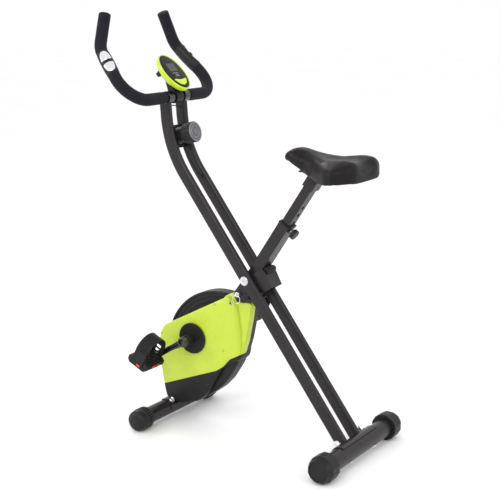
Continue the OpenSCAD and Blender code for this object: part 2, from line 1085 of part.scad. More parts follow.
module rear_foot_tube() {
    y1 = rear_foot_w / 2 - 10;
    color("dimgray")
        difference() {
            ring(rear_foot_x, rear_foot_z, -y1, y1, rear_foot_d, rear_foot_d - 2 * wall);
            both()
                foot_hole(rear_foot_x, rear_foot_z, rear_bolt_a, rear_bolt_y, 8.4);
        }
}

module rear_foot_bolts() {
    color("silver")
        both()
            foot_bolt(rear_foot_x, rear_foot_z, rear_bolt_a, rear_bolt_y, rear_foot_d / 2);
}

// Twelve-sided cap, off centre on the foot tube, turned to level the bike
module levelling_cap() {
    y1 = rear_foot_w / 2;
    len = 50;
    across = 2 * (rear_cap_r + cap_lift) / cos(15);
    difference() {
        translate([rear_foot_x, y1, rear_foot_z + cap_lift])
            rotate([90, 15, 0])
                union() {
                    translate([0, 0, 8])
                        cylinder(h = len - 8, d = across, $fn = 12);
                    cylinder(h = 8, d1 = across - 12, d2 = across, $fn = 12);
                }
        rod(rear_foot_x, rear_foot_z, y1 - len - 1, y1 - 9, rear_foot_d + 0.1);
    }
}

module left_levelling_cap() {
    color("black")
        levelling_cap();
}

module right_levelling_cap() {
    color("black")
        mirror([0, 1, 0])
            levelling_cap();
}

// ---------- handlebar ----------

bar_ref = [1, 0, -1];
bar_sides = 24;

module handlebar() {
    left = bar_path(1, 0);
    right = [for (p = left) [p.x, -p.y, p.z]];
    whole = concat([for (i = [len(right) - 1 : -1 : 0]) right[i]], left);
    color("black")
        sweep(whole, bar_d / 2, bar_sides, bar_ref);
}

module handlebar_clamps() {
    color("black")
        both()
            ring(bar_x, bar_z, twin_y - 11, twin_y + 11, 34, bar_d);
}

module grips() {
    color("darkslategray")
        both()
            difference() {
                sweep(bar_path(52, 4), grip_d / 2, bar_sides, bar_ref);
                sweep(bar_path(50, 0), bar_d / 2, bar_sides, bar_ref);
            }
}

sensor_from = 96;
sensor_to = 167;

// Hand pulse sensors: a sleeve on each grip with two metal plates
module pulse_sensors() {
    u = unit(bar_horn - bar_corner);
    mid = (sensor_from + sensor_to) / 2;
    both() {
        color("black")
            along(bar_corner + u * sensor_from, bar_horn)
                difference() {
                    cylinder(h = sensor_to - sensor_from, d = grip_d + 3);
                    translate([0, 0, -1])
                        cylinder(h = sensor_to - sensor_from + 2, d = grip_d);
                }
        color("silver")
            for (z = [sensor_from + 6, mid + 3])
                along(bar_corner + u * z, bar_horn)
                    rotate_extrude(angle = 110, start = 105)
                        translate([(grip_d + 3) / 2, 0])
                            square([1, mid - sensor_from - 9]);
    }
}

// ---------- console ----------

module on_console() {
    translate(console_c)
        rotate([0, -console_tilt, 0])
            children();
}

module oval(a, b) {
    polygon([for (t = [0 : 6 : 354]) [a * cos(t), b * sin(t)]]);
}

module console_case() {
    color("black")
        on_console() {
            translate([0, 0, -14])
                linear_extrude(14)
                    oval(56, 39);
            translate([0, 0, -24])
                linear_extrude(10)
                    oval(46, 30);
        }
}

module console_bezel() {
    color("yellowgreen")
        on_console()
            linear_extrude(4)
                difference() {
                    oval(59, 42);
                    oval(52, 35);
                }
}

module button_outline(grow) {
    translate([-38, 0])
        oval(8 + grow, 17 + grow);
}

module console_screen() {
    color("black")
        on_console()
            difference() {
                linear_extrude(3.4)
                    oval(51.8, 34.8);
                translate([0, 0, 1])
                    linear_extrude(4)
                        button_outline(0.3);
            }
}

module console_button() {
    color("yellowgreen")
        on_console()
            translate([0, 0, 3])
                linear_extrude(2)
                    button_outline(0);
}

module console_bracket() {
    color("black")
        difference() {
            union() {
                rod(bar_x, bar_z, -14, 14, 36);
                side(-12, 12)
                    polygon([[244, 932], [270, 926], [287.6, 978.9], [271, 961.7]]);
            }
            rod(bar_x, bar_z, -20, 20, bar_d);
            console_keepout();
        }
}

module console_keepout() {
    on_console()
        translate([-60, -60, -24])
            cube([120, 120, 40]);
}

// ---------- tension control ----------

// Frame of the tension knob: z points back from the twin tubes, x up along them
module on_knob() {
    translate([bend_c.x + bend_r * cos(knob_a), 0, bend_c.y + bend_r * sin(knob_a)])
        rotate([0, -90 - knob_a, 0])
            children();
}

module tension_base() {
    color("black")
        on_knob() {
            translate([-32, -twin_gap / 2, -6])
                cube([64, twin_gap, 4]);
            translate([0, 0, -2])
                cylinder(h = 31, d = 46);
            cylinder(h = 50, d = 12);
        }
}

module tension_knob() {
    rib_n = 20;
    color("silver")
        on_knob()
            difference() {
                union() {
                    translate([0, 0, 30])
                        cylinder(h = 31, d = 53);
                    translate([0, 0, 61])
                        cylinder(h = 3, d1 = 53, d2 = 49);
                    for (i = [0 : rib_n - 1])
                        rotate(i * 360 / rib_n)
                            translate([26.5, 0, 32])
                                cylinder(h = 24, d = 3);
                }
                translate([0, 0, 29])
                    cylinder(h = 22, d = 12.1);
            }
}

cable_in = [186, -twin_gap / 2, 700];

// Route of the tension cable, from the control into the right twin tube
cable_path = concat(
    [
        [238, 0, 800], [232, 0, 788], [222, 0, 770], [209, -3, 746], [197, -11, 722],
        [190, -19, 709], [186, -27, 700]
    ],
    [for (t = [300 : -20 : 60]) [t * cos(rear_angle), -twin_y, pivot_h + t * sin(rear_angle)]]
);

wire_path = [
    [264, 30, 900], [262, 20, 899], [259, 8, 898], [258, -8, 896], [260, -22, 891],
    [263, -32, 889]
];

module tension_cable() {
    color("black")
        difference() {
            sweep(cable_path, 2.5, 8, [0, 1, 0.2]);
            on_knob()
                cylinder(h = 29, d = 46);
        }
}

module sensor_wire() {
    color("black")
        sweep(wire_path, 1.5, 8, [1, 0, 0.3]);
}

// ---------- lock pin ----------

lock_x = lock_r * cos(main_angle);
lock_z = pivot_h - lock_r * sin(main_angle);
ring_y = 42;
ring_r = 12;

// Lock pin in the left side plate, drawn pulled just clear of the main tube
module lock_pin() {
    color("silver")
        difference() {
            union() {
                rod(lock_x, lock_z, main_w / 2 + 0.6, 33, lock_d);
                rod(lock_x, lock_z, 33, 38, 14);
                rod(lock_x, lock_z, 38, 45.5, 7);
            }
            translate([lock_x - 10, ring_y, lock_z])
                rotate([0, 90, 0])
                    cylinder(h = 20, d = 4);
        }
}

module lock_ring() {
    color("silver")
        translate([lock_x, ring_y, lock_z - ring_r])
            rotate([90, 0, 0])
                rotate_extrude()
                    translate([ring_r, 0])
                        circle(d = 2);
}

// Puts the origin under the middle of the whole bike
module placed() {
    translate([-origin_x, 0, 0])
        children();
}

placed() main_tube();
placed() front_foot_tube();
placed() front_foot_caps();
placed() front_foot_bolts();
placed() seat_bushing();
placed() crank_shell();
placed() bearings();
placed() left_cover();
placed() left_lower_cover();
placed() right_cover();
placed() cover_screws();
placed() drive_belt();
placed() speed_sensor();
placed() crank_axle();
placed() drive_pulley();
placed() crank_discs();
placed() left_crank_arm();
placed() right_crank_arm();
placed() crank_nuts();
placed() pedal_spindles();
placed() left_pedal_body();
placed() left_pedal_strap();
placed() right_pedal_body();
placed() right_pedal_strap();
placed() flywheel();
placed() wheel_axle();
placed() magnet_arm();
placed() magnets();
placed() seat_post();
placed() saddle_bracket();
placed() saddle_base();
placed() saddle_pad();
placed() saddle_nuts();
placed() seat_pin();
placed() seat_knob();
placed() left_twin_tube();
placed() right_twin_tube();
placed() fold_yoke();
placed() stop_pad();
placed() pivot_bolt();
placed() rear_foot_plate();
placed() rear_foot_tube();
placed() rear_foot_bolts();
placed() left_levelling_cap();
placed() right_levelling_cap();
placed() handlebar();
placed() handlebar_clamps();
placed() grips();
placed() pulse_sensors();
placed() console_bracket();
placed() console_case();
placed() console_bezel();
placed() console_screen();
placed() console_button();
placed() tension_base();
placed() tension_knob();
placed() tension_cable();
placed() sensor_wire();
placed() lock_pin();
placed() lock_ring();
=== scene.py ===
# Looks of the folding exercise bike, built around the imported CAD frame. Metres, +X forward, +Z up.
import json
import math

import bmesh
import bpy
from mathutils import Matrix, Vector


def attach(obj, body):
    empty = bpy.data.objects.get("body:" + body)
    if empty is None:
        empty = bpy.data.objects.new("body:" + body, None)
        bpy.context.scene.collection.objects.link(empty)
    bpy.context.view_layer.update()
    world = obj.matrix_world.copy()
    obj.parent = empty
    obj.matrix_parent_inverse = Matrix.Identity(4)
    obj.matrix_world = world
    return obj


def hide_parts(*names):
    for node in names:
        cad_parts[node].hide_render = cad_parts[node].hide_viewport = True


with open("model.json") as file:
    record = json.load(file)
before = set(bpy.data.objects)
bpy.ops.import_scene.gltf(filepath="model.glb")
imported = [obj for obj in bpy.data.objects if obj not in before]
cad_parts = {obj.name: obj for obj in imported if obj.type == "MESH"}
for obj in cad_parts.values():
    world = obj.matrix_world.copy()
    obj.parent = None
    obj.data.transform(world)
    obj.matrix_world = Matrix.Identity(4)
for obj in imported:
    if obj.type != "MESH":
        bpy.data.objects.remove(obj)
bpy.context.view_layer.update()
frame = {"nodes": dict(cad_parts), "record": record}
nodes = frame["nodes"]
MM = 0.001

# ---------- dimensions shared with the CAD frame, in millimetres ----------

PIVOT = Vector((0, 0, 447))
MAIN_ANGLE = math.radians(56.5)
REAR_ANGLE = math.radians(53)
TWIN_Y = 35
TWIN_DEPTH = 36
TWIN_WIDTH = 18
REAR_LOWER = 524.9
BEND_FROM = 336
BEND_RADIUS = 300
BEND_TURN = math.radians(33)
BEND_STRAIGHT = 33
BAR = Vector((256, 0, 922))
BAR_CORNER = Vector((256, 202, 922))
BAR_HORN = Vector((383, 162, 1054))
BAR_TIP = Vector((394, 126, 1140))
CORNER_RADIUS = 67
HORN_RADIUS = 57
CRANK = Vector((179, 0, 255))
CRANK_LENGTH = 104
CRANK_DROP = math.radians(30)
CONSOLE = Vector((262, 0, 987))
CONSOLE_TILT = math.radians(46)
FRONT_FOOT = Vector((275.34, 0, 31))
REAR_FOOT = Vector((-325.49, 0, 35))
CAP_LIFT = 1
PEDAL_PITCH = math.radians(25)
PEDAL_MID = 136
PEDAL_HALF = 34
# The dimensions above are measured from the folding pivot; the frame's origin lies this far in front
ORIGIN = Vector((25, 0, 0))

# ---------- camera, lights and stage ----------

VIEW_AZIMUTH = math.radians(213.66)
VIEW_ELEVATION = math.radians(13.01)
VIEW_DISTANCE = 3.0636
LENS = 81.75
SENSOR = 36
VIEW_TARGET = Vector((-0.0127, 0, 0.5219))


SKY_STRENGTH = 1.08
FLOOR_HALF = 200.0
FLOOR_Z = -0.0005
# Each area light: name, place, height it points at, size and power
LIGHTS = [
    ("key", (-1.2, 3.4, 3.2), 0.6, 2.2, 60),
    ("fill", (-3.6, 0.4, 2.2), 0.6, 2.4, 24),
    ("rim", (3.0, -1.6, 2.8), 0.7, 0.7, 16),
    ("edge", (2.6, 2.2, 1.6), 0.6, 0.5, 22),
]


def add_camera():
    data = bpy.data.cameras.new("camera")
    data.lens = LENS
    data.sensor_width = SENSOR
    camera = bpy.data.objects.new("camera", data)
    bpy.context.scene.collection.objects.link(camera)
    back = Vector((
        math.sin(VIEW_AZIMUTH) * math.cos(VIEW_ELEVATION),
        -math.cos(VIEW_AZIMUTH) * math.cos(VIEW_ELEVATION),
        math.sin(VIEW_ELEVATION),
    ))
    camera.location = VIEW_TARGET + back * VIEW_DISTANCE
    camera.rotation_euler = (-back).to_track_quat("-Z", "Y").to_euler()
    bpy.context.scene.camera = camera


def add_light(name, place, height, size, power):
    data = bpy.data.lights.new(name, "AREA")
    data.shape = "DISK"
    data.size = size
    data.energy = power
    light = bpy.data.objects.new(name, data)
    bpy.context.scene.collection.objects.link(light)
    light.location = place
    aim = Vector((0, 0, height)) - Vector(place)
    light.rotation_euler = aim.to_track_quat("-Z", "Y").to_euler()


def add_stage():
    world = bpy.data.worlds.new("studio")
    bpy.context.scene.world = world
    world.use_nodes = True
    sky = world.node_tree.nodes["Background"]
    sky.inputs["Color"].default_value = (1, 1, 1, 1)
    sky.inputs["Strength"].default_value = SKY_STRENGTH
    for light in LIGHTS:
        add_light(*light)
    bpy.context.scene.view_settings.view_transform = "Standard"
    bm = bmesh.new()
    corners = [(-1, -1), (1, -1), (1, 1), (-1, 1)]
    bm.faces.new([bm.verts.new((x * FLOOR_HALF, y * FLOOR_HALF, FLOOR_Z)) for x, y in corners])
    floor = mesh_object("studio_floor", bm, [floor_material()], smooth=False)


# ---------- materials ----------


class Nodes:
    """A node material under construction."""

    def __init__(self, name):
        self.material = bpy.data.materials.new(name)
        self.material.use_nodes = True
        self.tree = self.material.node_tree
        self.shader = self.tree.nodes["Principled BSDF"]
        self.place = self.tree.nodes.new("ShaderNodeTexCoord").outputs["Object"]

    def noise(self, scale, detail=3.0, roughness=0.55):
        node = self.tree.nodes.new("ShaderNodeTexNoise")
        node.inputs["Scale"].default_value = scale
        node.inputs["Detail"].default_value = detail
        node.inputs["Roughness"].default_value = roughness
        self.tree.links.new(self.place, node.inputs["Vector"])
        return node.outputs["Fac"]

    def cells(self, scale):
        node = self.tree.nodes.new("ShaderNodeTexVoronoi")
        node.inputs["Scale"].default_value = scale
        self.tree.links.new(self.place, node.inputs["Vector"])
        return node.outputs["Distance"]

    def ramp(self, value, low, high, start=0.3, end=0.7):
        node = self.tree.nodes.new("ShaderNodeMapRange")
        node.inputs["From Min"].default_value = start
        node.inputs["From Max"].default_value = end
        node.inputs["To Min"].default_value = low
        node.inputs["To Max"].default_value = high
        self.tree.links.new(value, node.inputs["Value"])
        return node.outputs["Result"]

    def mix(self, value, first, second):
        node = self.tree.nodes.new("ShaderNodeMix")
        node.data_type = "RGBA"
        node.inputs["A"].default_value = (*first, 1)
        node.inputs["B"].default_value = (*second, 1)
        self.tree.links.new(value, node.inputs["Factor"])
        return node.outputs["Result"]

    def bump(self, value, strength, distance):
        node = self.tree.nodes.new("ShaderNodeBump")
        node.inputs["Strength"].default_value = strength
        node.inputs["Distance"].default_value = distance
        self.tree.links.new(value, node.inputs["Height"])
        self.tree.links.new(node.outputs["Normal"], self.shader.inputs["Normal"])

    def link(self, value, socket):
        self.tree.links.new(value, self.shader.inputs[socket])


def scaled(colour, k):
    return tuple(min(1.0, c * k) for c in colour)


def surface(name, colour, rough, metal=0.0, coat=0.0, grain=900.0, grain_depth=0.00004, patchy=0.12,
            detail=4.0, specular=0.5):
    """Moulded or painted surface: patches of tone, uneven gloss and a fine grain."""
    n = Nodes(name)
    patches = n.noise(14.0)
    tone = n.ramp(patches, 0.0, 1.0)
    n.link(n.mix(tone, scaled(colour, 1 - patchy), scaled(colour, 1 + patchy)), "Base Color")
    fine = n.noise(grain, detail)
    n.link(n.ramp(n.noise(70.0), rough * 0.85, min(1.0, rough * 1.15)), "Roughness")
    n.bump(fine, 0.6, grain_depth)
    n.shader.inputs["Metallic"].default_value = metal
    n.shader.inputs["Specular IOR Level"].default_value = specular
    n.shader.inputs["Coat Weight"].default_value = coat
    n.shader.inputs["Coat Roughness"].default_value = 0.12
    return n.material


def vinyl(name, colour):
    """Saddle cover: leather grain of small cells."""
    n = Nodes(name)
    cells = n.cells(620.0)
    n.link(n.mix(n.ramp(n.noise(9.0), 0.0, 1.0), scaled(colour, 0.8), scaled(colour, 1.25)), "Base Color")
    n.link(n.ramp(n.noise(60.0), 0.36, 0.48), "Roughness")
    n.bump(cells, 0.5, 0.0002)
    n.shader.inputs["Specular IOR Level"].default_value = 0.15
    return n.material


def foam(name, colour):
    """Closed-cell foam: matte, with fine pores."""
    n = Nodes(name)
    pores = n.cells(1500.0)
    n.link(n.mix(n.ramp(n.noise(30.0), 0.0, 1.0), scaled(colour, 0.85), scaled(colour, 1.2)), "Base Color")
    n.link(n.ramp(n.noise(200.0), 0.68, 0.86), "Roughness")
    n.bump(pores, 0.7, 0.0003)
    n.shader.inputs["Specular IOR Level"].default_value = 0.15
    n.shader.inputs["Sheen Weight"].default_value = 0.03
    return n.material


def floor_material():
    n = Nodes("studio_floor")
    n.link(n.mix(n.ramp(n.noise(2.0), 0.0, 1.0), (0.90, 0.90, 0.90), (0.93, 0.93, 0.93)), "Base Color")
    n.link(n.ramp(n.noise(5.0), 0.5, 0.6), "Roughness")
    return n.material


LIME = (0.45, 0.57, 0.022)
LOOKS = {
    "frame_paint": surface("frame_paint", (0.020, 0.017, 0.019), 0.30, metal=0.05,
                           grain=1600.0, grain_depth=0.00003, specular=0.25),
    "black_plastic": surface("black_plastic", (0.009, 0.009, 0.010), 0.44, grain=1300.0,
                             grain_depth=0.00008, specular=0.25),
    "black_gloss": surface("black_gloss", (0.008, 0.007, 0.009), 0.2, coat=0.5, grain=500.0,
                           grain_depth=0.00001),
    "lime_plastic": surface("lime_plastic", LIME, 0.3, coat=0.3, grain=700.0, grain_depth=0.00002,
                            patchy=0.03),
    "lime_trim": surface("lime_trim", (0.50, 0.68, 0.010), 0.28, coat=0.3, grain=700.0,
                         grain_depth=0.00002, patchy=0.03),
    "foam": foam("foam", (0.009, 0.009, 0.014)),
    "rubber": surface("rubber", (0.009, 0.009, 0.010), 0.6, grain=1100.0, grain_depth=0.0001,
                      specular=0.25),
    "zinc": surface("zinc", (0.66, 0.66, 0.68), 0.28, metal=1.0, grain=900.0, grain_depth=0.00004),
    "steel": surface("steel", (0.48, 0.48, 0.50), 0.34, metal=1.0, grain=1500.0,
                     grain_depth=0.00004),
    "cast": surface("cast", (0.14, 0.14, 0.15), 0.5, metal=0.8, grain=500.0, grain_depth=0.00015),
    "chrome": surface("chrome", (0.78, 0.78, 0.80), 0.14, metal=1.0, grain=800.0,
                      grain_depth=0.00001, patchy=0.04),
    "vinyl": vinyl("vinyl", (0.0075, 0.006, 0.006)),
    "display": surface("display", (0.010, 0.008, 0.010), 0.22, coat=0.1, grain=400.0,
                       grain_depth=0.000005, specular=0.1),
    "knob_paint": surface("knob_paint", (0.19, 0.19, 0.205), 0.38, metal=0.6, grain=1200.0,
                          grain_depth=0.00004),
    "black_paint": surface("black_paint", (0.008, 0.008, 0.009), 0.22, metal=0.2, coat=0.6,
                           grain=900.0, grain_depth=0.00002),
    "lcd": surface("lcd", (0.030, 0.028, 0.024), 0.25, coat=0.1, grain=500.0, grain_depth=0.000005),
    "mark": surface("mark", (0.30, 0.30, 0.32), 0.4, grain=900.0, grain_depth=0.00001),
    "reflector": surface("reflector", (0.55, 0.015, 0.012), 0.2, coat=0.6, grain=300.0,
                         grain_depth=0.0002),
}

# ---------- mesh helpers ----------


def mesh_object(name, bm, materials, smooth=True, sharp=35):
    """A new object from bm, smooth except across edges sharper than the angle."""
    bmesh.ops.recalc_face_normals(bm, faces=bm.faces)
    if smooth:
        limit = math.radians(sharp)
        for face in bm.faces:
            face.smooth = True
        for edge in bm.edges:
            flat = len(edge.link_faces) == 2
            edge.smooth = flat and edge.calc_face_angle(0) < limit
    mesh = bpy.data.meshes.new(name)
    bm.to_mesh(mesh)
    bm.free()
    for material in materials:
        mesh.materials.append(material)
    obj = bpy.data.objects.new(name, mesh)
    bpy.context.scene.collection.objects.link(obj)
    return obj


def piece(name, bm, look, body, replaces=(), sharp=35):
    """A piece of the bike: built, given its look, riding on its body."""
    obj = mesh_object(name, bm, [LOOKS[look]], sharp=sharp)
    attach(obj, body)
    if replaces:
        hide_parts(*replaces)
    return obj


def add_loft(bm, rings, closed=False):
    """Quads between successive rings of points in millimetres, with both ends filled."""
    loops = [[bm.verts.new((Vector(p) - ORIGIN) * MM) for p in ring] for ring in rings]
    count = len(loops[0])
    pairs = list(zip(loops, loops[1:]))
    if closed:
        pairs.append((loops[-1], loops[0]))
    for a, b in pairs:
        for i in range(count):
            j = (i + 1) % count
            bm.faces.new((a[i], a[j], b[j], b[i]))
    if not closed:
        bm.faces.new(list(reversed(loops[0])))
        bm.faces.new(loops[-1])
    return bm


def ring(centre, u, v, a, b=None, count=48, turn=0.0):
    """Points of an ellipse in the plane of u and v."""
    b = a if b is None else b
    out = []
    for i in range(count):
        t = turn + 2 * math.pi * i / count
        out.append(Vector(centre) + Vector(u) * (a * math.cos(t)) + Vector(v) * (b * math.sin(t)))
    return out


def lathe(bm, centre, axis, profile, count=48, wave=None):
    """Turns a profile of (distance along the axis, radius) about the axis."""
    axis = Vector(axis).normalized()
    u = axis.orthogonal().normalized()
    if abs(axis.y) > 0.9:
        u = Vector((1, 0, 0))
    v = axis.cross(u)
    rings = []
    for along, radius in profile:
        points = []
        for i in range(count):
            t = 2 * math.pi * i / count
            r = radius if wave is None else wave(along, radius, t)
            points.append(Vector(centre) + axis * along + u * (r * math.cos(t)) + v * (r * math.sin(t)))
        rings.append(points)
    return add_loft(bm, rings)


def fillet(a, p, b, radius, steps=14):
    """Arc points that round the corner p between a and b."""
    u = (p - a).normalized()
    v = (b - p).normalized()
    turn = u.angle(v)
    n = (v - u * u.dot(v)).normalized()
    centre = p - u * (radius * math.tan(turn / 2)) + n * radius
    out = []
    for i in range(steps + 1):
        t = turn * i / steps
        out.append(centre + (u * math.sin(t) - n * math.cos(t)) * radius)
    return out


def tangents(path):
    out = []
    for i in range(len(path)):
        before = path[max(i - 1, 0)]
        after = path[min(i + 1, len(path) - 1)]
        out.append((after - before).normalized())
    return out


def sweep(bm, path, ref, radii, count=40):
    """A round tube along the path; radii gives one radius or (a, b) per path point."""
    rings = []
    for i, (p, t) in enumerate(zip(path, tangents(path))):
        u = t.cross(Vector(ref)).normalized()
        v = t.cross(u)
        r = radii[i] if isinstance(radii, list) else radii
        a, b = r if isinstance(r, tuple) else (r, r)
        rings.append(ring(p, u, v, a, b, count))
    return add_loft(bm, rings)


def resample(path, step):
    """Points every so many millimetres along a path."""
    out = [path[0]]
    for a, b in zip(path, path[1:]):
        parts = max(1, round((b - a).length / step))
        for i in range(1, parts + 1):
            out.append(a.lerp(b, i / parts))
    return out


def refined(name, look, body, width=0.6, segments=2, merge=0.02):
    """A CAD node's shape with its edges slightly rounded."""
    bm = bmesh.new()
    bm.from_mesh(nodes[name].data)
    bmesh.ops.remove_doubles(bm, verts=bm.verts, dist=merge * MM)
    bmesh.ops.dissolve_limit(bm, angle_limit=math.radians(1.0), verts=bm.verts, edges=bm.edges)
    obj = mesh_object(name + "_finish", bm, [LOOKS[look]], sharp=30)
    bevel = obj.modifiers.new("soft_edges", "BEVEL")
    bevel.width = width * MM
    bevel.segments = segments
    bevel.limit_method = "ANGLE"
    bevel.angle_limit = math.radians(32)
    bevel.use_clamp_overlap = True
    apply_modifiers(obj)
    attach(obj, body)
    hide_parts(name)
    return obj


def apply_modifiers(obj):
    graph = bpy.context.evaluated_depsgraph_get()
    graph.update()
    mesh = bpy.data.meshes.new_from_object(obj.evaluated_get(graph))
    obj.modifiers.clear()
    obj.data = mesh


def on_side(y, points):
    """Side-view [x, z] points at the given y."""
    return [Vector((x, y, z)) for x, z in points]


# ---------- tubes ----------

UP_REAR = Vector((math.cos(REAR_ANGLE), 0, math.sin(REAR_ANGLE)))
UP_MAIN = Vector((-math.cos(MAIN_ANGLE), 0, math.sin(MAIN_ANGLE)))


def twin_path():
    """Centre line of a twin tube in the middle plane, from foot to handlebar."""
    normal = Vector((-UP_REAR.z, 0, UP_REAR.x))
    start = PIVOT - UP_REAR * (REAR_LOWER - 24)
    bend = PIVOT + UP_REAR * BEND_FROM
    centre = bend + normal * BEND_RADIUS
    path = resample([start, bend], 30)
    for i in range(1, 25):
        t = BEND_TURN * i / 24
        path.append(centre + (UP_REAR * math.sin(t) - normal * math.cos(t)) * BEND_RADIUS)
    last = (path[-1] - path[-2]).normalized()
    path.append(path[-1] + last * BEND_STRAIGHT)
    return path


def stadium(centre, u, v, depth, width, count=56):
    """Points round a flat-oval section, depth along u and width along v."""
    flat = (depth - width) / 2
    out = []
    for i in range(count):
        t = 2 * math.pi * (i + 0.5) / count
        shift = flat if math.cos(t) > 0 else -flat
        r = width / 2
        out.append(Vector(centre) + Vector(u) * (shift + r * math.cos(t)) + Vector(v) * (r * math.sin(t)))
    return out


def twin_tube(name, y, node):
    path = twin_path()
    rings = []
    for p, t in zip(path, tangents(path)):
        u = Vector((0, 1, 0)).cross(t).normalized()
        rings.append(stadium(p + Vector((0, y, 0)), u, (0, 1, 0), TWIN_DEPTH, TWIN_WIDTH))
    piece(name, add_loft(bmesh.new(), rings), "frame_paint", "rear_frame", [node])


def bar_half(side, start_y, past=0.0):
    """Centre line of one half of the handlebar, from start_y to the tip."""
    start = Vector((BAR.x, start_y, BAR.z))
    corner_arc = fillet(start, BAR_CORNER, BAR_HORN, CORNER_RADIUS)
    horn_arc = fillet(BAR_CORNER, BAR_HORN, BAR_TIP, HORN_RADIUS)
    end = BAR_TIP + (BAR_TIP - BAR_HORN).normalized() * past
    path = [start] + corner_arc + horn_arc + [end]
    return [Vector((p.x, side * p.y, p.z)) for p in resample(path, 12)]


BAR_RADIUS = 12.7
BAR_REF = (1, 0, -1)
GRIP_RADIUS = 16.5
GRIP_LIP = 15.6
GRIP_START = 52
GRIP_PAST = 4
GRIP_END_STEPS = 5


def build_handlebar():
    left = bar_half(1, 0)
    right = bar_half(-1, 0)
    whole = list(reversed(right))[:-1] + left
    tube = sweep(bmesh.new(), whole, BAR_REF, BAR_RADIUS)
    piece("handlebar_tube", tube, "black_paint", "rear_frame", ["handlebar"])
    bm = bmesh.new()
    for side in (1, -1):
        path = bar_half(side, GRIP_START, past=GRIP_PAST)
        last = path.pop()
        t = (last - path[-1]).normalized()
        radii = [GRIP_LIP] + [GRIP_RADIUS] * (len(path) - 1)
        for i in range(1, GRIP_END_STEPS + 1):
            turn = math.pi / 2 * i / GRIP_END_STEPS
            path.append(last - t * (GRIP_PAST - GRIP_PAST * math.sin(turn)))
            radii.append(GRIP_RADIUS - GRIP_PAST + GRIP_PAST * math.cos(turn))
        sweep(bm, path, BAR_REF, radii)
    piece("grip_foam", bm, "foam", "rear_frame", ["grips"])


SENSOR_AT = 131.5
SLEEVE = [(-38, 16.6), (-35, 17.2), (-20, 18.1), (0, 18.4), (20, 18.1), (35, 17.2), (38, 16.6)]
PLATE_REACH = 34.5
PLATE_ANGLE = 58
PLATE_OUTER = 17.9
PLATE_INNER = 16.8
PLATE_LIFT = 1.4
PLATE_SPANS = ((-33, -4), (4, 33))


def sensor_plate(bm, start, axes, low, high, steps=12, across=24):
    """A polished plate with one pointed end, curved round the sleeve."""
    t, u, v = axes
    rings = []
    for k in range(steps + 1):
        d = low + (high - low) * k / steps
        half = PLATE_ANGLE * math.sqrt(max(0.002, 1 - (d / PLATE_REACH) ** 2))
        rise = min(1.0, k / 1.5, (steps - k) / 1.5)
        loop = []
        for i in range(across + 1):
            angle = math.radians(half * (2 * i / across - 1))
            r = PLATE_OUTER + PLATE_LIFT * rise * min(1.0, min(i, across - i) / 3)
            loop.append(start + t * d + u * (r * math.cos(angle)) + v * (r * math.sin(angle)))
        for i in range(across, -1, -1):
            angle = math.radians(half * (2 * i / across - 1))
            loop.append(start + t * d + (u * math.cos(angle) + v * math.sin(angle)) * PLATE_INNER)
        rings.append(loop)
    add_loft(bm, rings)


def build_pulse_sensors():
    """Sleeves on the grips, each with two polished half-oval plates."""
    sleeves = bmesh.new()
    plates = bmesh.new()
    for side in (1, -1):
        corner = Vector((BAR_CORNER.x, side * BAR_CORNER.y, BAR_CORNER.z))
        horn = Vector((BAR_HORN.x, side * BAR_HORN.y, BAR_HORN.z))
        t = (horn - corner).normalized()
        out = Vector((-0.62, side * 0.72, 0.3))
        u = (out - t * out.dot(t)).normalized()
        v = t.cross(u)
        a = corner + t * SENSOR_AT
        add_loft(sleeves, [ring(a + t * d, u, v, r, r, 48) for d, r in SLEEVE])
        for low, high in PLATE_SPANS:
            sensor_plate(plates, a, (t, u, v), low, high)
    piece("pulse_sleeves", sleeves, "black_plastic", "rear_frame", ["pulse_sensors"])
    piece("pulse_plates", plates, "chrome", "rear_frame")


# ---------- housing ----------

WIDE = [
    (291, 262), (280, 278), (254, 291), (68, 390), (55, 386), (36, 368), (26, 304), (23, 232), (30, 212),
    (84, 181), (131, 101), (160, 72), (222, 50), (276, 60), (285, 94), (299, 175), (298, 244),
]
TAIL = [
    (84, 386), (58, 400), (20, 386), (-7, 376), (-2, 337), (12, 269), (24, 232), (46, 187), (74, 144),
    (101, 115), (146, 82), (190, 66), (170, 140), (110, 300),
]
SPLIT = [(-40, 248), (27, 229), (56, 213), (80, 187), (99, 173), (330, 82), (330, 0), (-40, 0)]
SCREW_PITS = [(103, 364), (52, 375), (290, 250), (76, 236), (131, 125)]
ARCH_CENTRE = (110, 206)
ARCH_RADIUS = 186
NEAR_BACK = 0.2
FAR_BACK = 0.4
TAIL_EDGE = 4
SEAM = 0.35
# Steps on the arch, each as inset of its outer edge, inset of its inner edge, and height
ARCH_STEPS = [(0, 8, 2.2), (16, 20, 1.2), (30, 33, 1.2), (44, 47, 1.2)]
WIDE_Y = 38
TAIL_Y = 22


def rounded_outline(points, radius, step=3.0):
    """A closed side-view outline with every corner rounded, resampled evenly."""
    flat = [Vector((x, z)) for x, z in points]
    out = []
    count = len(flat)
    for i in range(count):
        a, p, b = flat[i - 1], flat[i], flat[(i + 1) % count]
        u = (a - p).normalized()
        v = (b - p).normalized()
        reach = min(radius, (a - p).length * 0.45, (b - p).length * 0.45)
        start = p + u * reach
        end = p + v * reach
        for k in range(7):
            t = k / 6
            out.append(start * (1 - t) ** 2 + p * (2 * t * (1 - t)) + end * t ** 2)
    dense = []
    for i, p in enumerate(out):
        q = out[(i + 1) % len(out)]
        parts = max(1, int((q - p).length / step))
        for k in range(parts):
            dense.append(p.lerp(q, k / parts))
    return dense


def inward(points):
    """Inward unit normals of an anticlockwise outline, smoothed."""
    count = len(points)
    out = []
    for i in range(count):
        t = points[(i + 2) % count] - points[i - 2]
        out.append(Vector((-t.y, t.x)).normalized())
    return out


